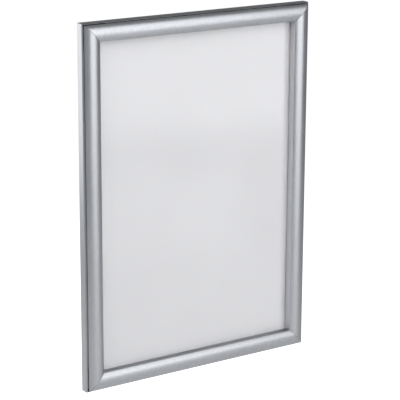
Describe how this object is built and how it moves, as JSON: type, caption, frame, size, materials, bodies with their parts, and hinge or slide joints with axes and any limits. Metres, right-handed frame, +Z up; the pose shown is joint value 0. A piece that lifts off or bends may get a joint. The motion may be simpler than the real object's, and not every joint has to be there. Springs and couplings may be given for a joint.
{
  "type": "snap poster frame",
  "caption": "Portrait wall frame with domed, mitred snap-open cover rails that clamp a clear sheet and poster over a backing panel.",
  "frame": {"origin": "on the wall side of the top base rail, at mid length and half way across the rail", "axes": "+Z up, -Y out of the wall towards the viewer, +X to the viewer's right"},
  "size_m": [0.321, 0.0176, 0.444],
  "materials": {
    "anodised_aluminium": "satin silver anodised extrusion",
    "spring_steel": "bare spring steel strip",
    "plated_steel": "zinc-plated pressed steel",
    "backing_plastic": "matt white styrene board",
    "poster_paper": "blank pale poster paper",
    "clear_plastic": "clear flexible cover sheet with a soft gloss"
  },
  "bodies": {
    "base_frame": {"base_rail_top": "anodised_aluminium", "base_rail_bottom": "anodised_aluminium", "base_rail_left": "anodised_aluminium", "base_rail_right": "anodised_aluminium", "leaf_spring_top_a": "spring_steel", "leaf_spring_top_b": "spring_steel", "leaf_spring_bottom_a": "spring_steel", "leaf_spring_bottom_b": "spring_steel", "leaf_spring_left_a": "spring_steel", "leaf_spring_left_b": "spring_steel", "leaf_spring_right_a": "spring_steel", "leaf_spring_right_b": "spring_steel", "corner_bracket_top_left": "plated_steel", "corner_bracket_top_right": "plated_steel", "corner_bracket_bottom_left": "plated_steel", "corner_bracket_bottom_right": "plated_steel", "backing_panel": "backing_plastic", "poster": "poster_paper", "clear_sheet": "clear_plastic"},
    "top_cover": {"cover_rail_top": "anodised_aluminium"},
    "bottom_cover": {"cover_rail_bottom": "anodised_aluminium"},
    "left_cover": {"cover_rail_left": "anodised_aluminium"},
    "right_cover": {"cover_rail_right": "anodised_aluminium"}
  },
  "joints": [
    {"name": "top_cover_hinge", "type": "hinge", "parent": "base_frame", "child": "top_cover", "pos_m": [0, -0.0095, 0.008], "axis": [-1, 0, 0], "range_deg": [0, 90], "deforming": ["leaf_spring_top_a", "leaf_spring_top_b"]},
    {"name": "bottom_cover_hinge", "type": "hinge", "parent": "base_frame", "child": "bottom_cover", "pos_m": [0, -0.0095, -0.43], "axis": [1, 0, 0], "range_deg": [0, 90], "deforming": ["leaf_spring_bottom_a", "leaf_spring_bottom_b"]},
    {"name": "left_cover_hinge", "type": "hinge", "parent": "base_frame", "child": "left_cover", "pos_m": [-0.1575, -0.0095, -0.211], "axis": [0, 0, -1], "range_deg": [0, 90], "deforming": ["leaf_spring_left_a", "leaf_spring_left_b"]},
    {"name": "right_cover_hinge", "type": "hinge", "parent": "base_frame", "child": "right_cover", "pos_m": [0.1575, -0.0095, -0.211], "axis": [0, 0, 1], "range_deg": [0, 90], "deforming": ["leaf_spring_right_a", "leaf_spring_right_b"]}
  ]
}
